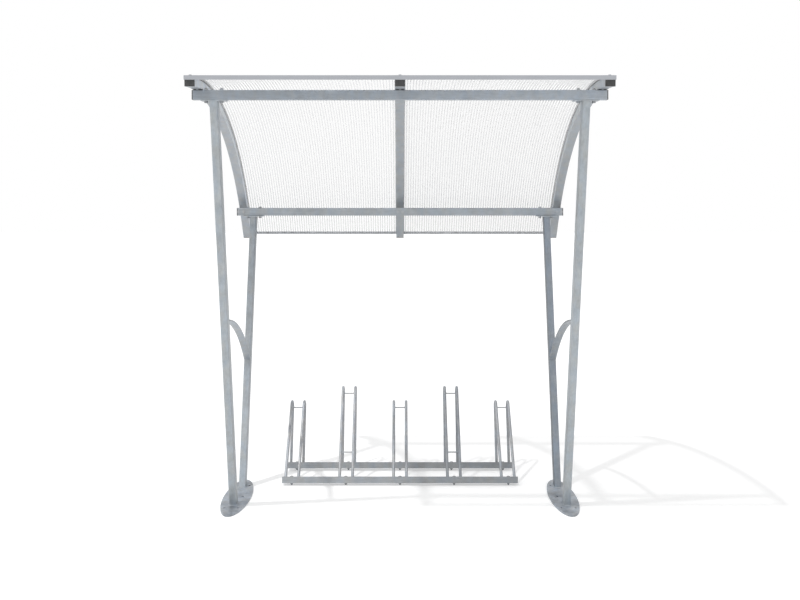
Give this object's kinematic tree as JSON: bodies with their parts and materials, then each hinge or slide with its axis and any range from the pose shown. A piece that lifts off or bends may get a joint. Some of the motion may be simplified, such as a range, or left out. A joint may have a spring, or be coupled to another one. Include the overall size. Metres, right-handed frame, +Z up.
{
  "type": "bike shelter",
  "caption": "Open bicycle shelter: two leaning-post side frames on oval foot plates carry two beams, curved rafters and a translucent roof over a low wheel rack.",
  "frame": {"origin": "on the ground, under the middle of the roof", "axes": "+X along the shelter to the right seen from the open front, +Y from the front to the back, +Z up"},
  "size_m": [2.14, 1.7336, 2.3949],
  "materials": {
    "galvanised_steel": "hot-dip galvanised, matt with a faint spangle",
    "aluminium": "mill finish, satin",
    "clear_sheet": "clear ribbed twin-wall polycarbonate",
    "black_plastic": "moulded, matt"
  },
  "bodies": {
    "root": {"cover_bar_left": "aluminium", "cover_bar_middle": "aluminium", "cover_bar_right": "aluminium", "cover_gaskets": "black_plastic", "foot_plate_left": "galvanised_steel", "foot_plate_right": "galvanised_steel", "front_beam": "galvanised_steel", "front_beam_plugs": "black_plastic", "front_edge_strip": "aluminium", "front_head_plate_left": "galvanised_steel", "front_head_plate_right": "galvanised_steel", "front_pad_left": "black_plastic", "front_pad_middle": "black_plastic", "front_pad_right": "black_plastic", "front_post_left": "galvanised_steel", "front_post_right": "galvanised_steel", "front_rafter_plugs": "black_plastic", "post_brace_left": "galvanised_steel", "post_brace_right": "galvanised_steel", "rack_front_bolts": "galvanised_steel", "rack_front_rail": "galvanised_steel", "rack_rear_bolts": "galvanised_steel", "rack_rear_rail": "galvanised_steel", "rafter_gaskets": "black_plastic", "rafter_left": "galvanised_steel", "rafter_middle": "galvanised_steel", "rafter_right": "galvanised_steel", "rear_beam": "galvanised_steel", "rear_beam_plugs": "black_plastic", "rear_bracket_left": "galvanised_steel", "rear_bracket_middle": "galvanised_steel", "rear_bracket_right": "galvanised_steel", "rear_edge_strip": "aluminium", "rear_head_plate_left": "galvanised_steel", "rear_head_plate_right": "galvanised_steel", "rear_post_left": "galvanised_steel", "rear_post_right": "galvanised_steel", "rear_rafter_plugs": "black_plastic", "roof_sheet_left": "clear_sheet", "roof_sheet_right": "clear_sheet", "wheel_holder_1": "galvanised_steel", "wheel_holder_2": "galvanised_steel", "wheel_holder_3": "galvanised_steel", "wheel_holder_4": "galvanised_steel", "wheel_holder_5": "galvanised_steel"}
  },
  "joints": []
}
